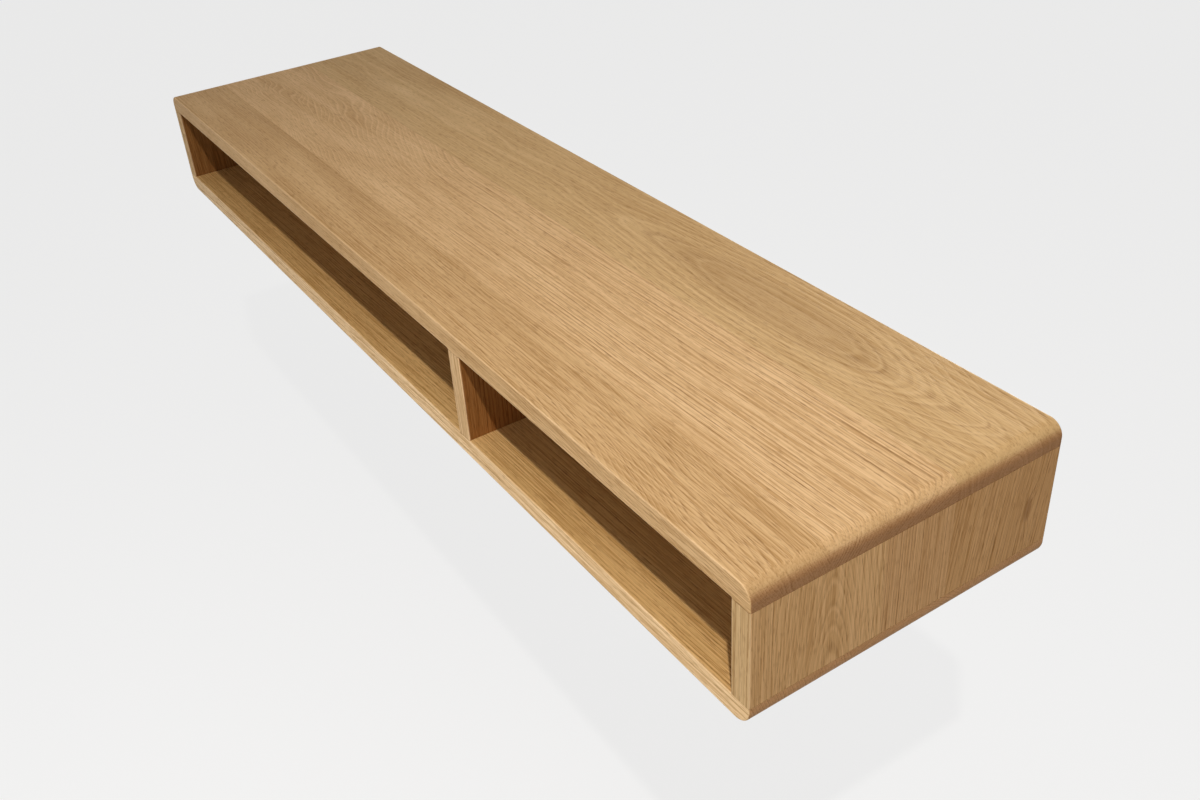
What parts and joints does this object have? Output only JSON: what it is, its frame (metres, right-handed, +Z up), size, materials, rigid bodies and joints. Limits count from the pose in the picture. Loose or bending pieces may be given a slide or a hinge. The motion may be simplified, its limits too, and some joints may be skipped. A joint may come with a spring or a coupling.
{
  "type": "floating console shelf",
  "caption": "Wall-hung console shelf: a low open oak case with rounded ends and an upright divider that makes unequal bays, hooked on a hidden bevelled wall batten.",
  "frame": {"origin": "on the wall, in the middle of the wall batten's line of screw holes", "axes": "+X along the case to the right as seen from the front, +Y back into the wall, +Z up"},
  "size_m": [1.2, 0.3, 0.13],
  "materials": {
    "top_oak": "satin oil on edge-glued oak",
    "bottom_oak": "satin oil on edge-glued oak",
    "side_oak": "satin oil on oak",
    "divider_oak": "satin oil on oak",
    "back_veneer": "satin oil on oak veneer",
    "batten_wood": "planed, bare wood",
    "dowel_beech": "bare beech"
  },
  "bodies": {
    "wall": {"wall_batten": "batten_wood"},
    "case": {"top_panel": "top_oak", "bottom_panel": "bottom_oak", "left_side": "side_oak", "right_side": "side_oak", "divider": "divider_oak", "back_panel": "back_veneer", "hanging_rail": "batten_wood", "left_top_dowel_1": "dowel_beech", "left_top_dowel_2": "dowel_beech", "left_top_dowel_3": "dowel_beech", "left_top_dowel_4": "dowel_beech", "left_bottom_dowel_1": "dowel_beech", "left_bottom_dowel_2": "dowel_beech", "left_bottom_dowel_3": "dowel_beech", "left_bottom_dowel_4": "dowel_beech", "right_top_dowel_1": "dowel_beech", "right_top_dowel_2": "dowel_beech", "right_top_dowel_3": "dowel_beech", "right_top_dowel_4": "dowel_beech", "right_bottom_dowel_1": "dowel_beech", "right_bottom_dowel_2": "dowel_beech", "right_bottom_dowel_3": "dowel_beech", "right_bottom_dowel_4": "dowel_beech", "divider_top_dowel_1": "dowel_beech", "divider_top_dowel_2": "dowel_beech", "divider_top_dowel_3": "dowel_beech", "divider_bottom_dowel_1": "dowel_beech", "divider_bottom_dowel_2": "dowel_beech", "divider_bottom_dowel_3": "dowel_beech", "rail_top_dowel_1": "dowel_beech", "rail_top_dowel_2": "dowel_beech", "rail_top_dowel_3": "dowel_beech", "rail_top_dowel_4": "dowel_beech", "rail_top_dowel_5": "dowel_beech", "rail_left_dowel": "dowel_beech", "rail_right_dowel": "dowel_beech"}
  },
  "joints": [
    {"name": "lift_off", "type": "slide", "parent": "wall", "child": "case", "axis": [0, 0, 1], "range_m": [0, 0.018]}
  ]
}
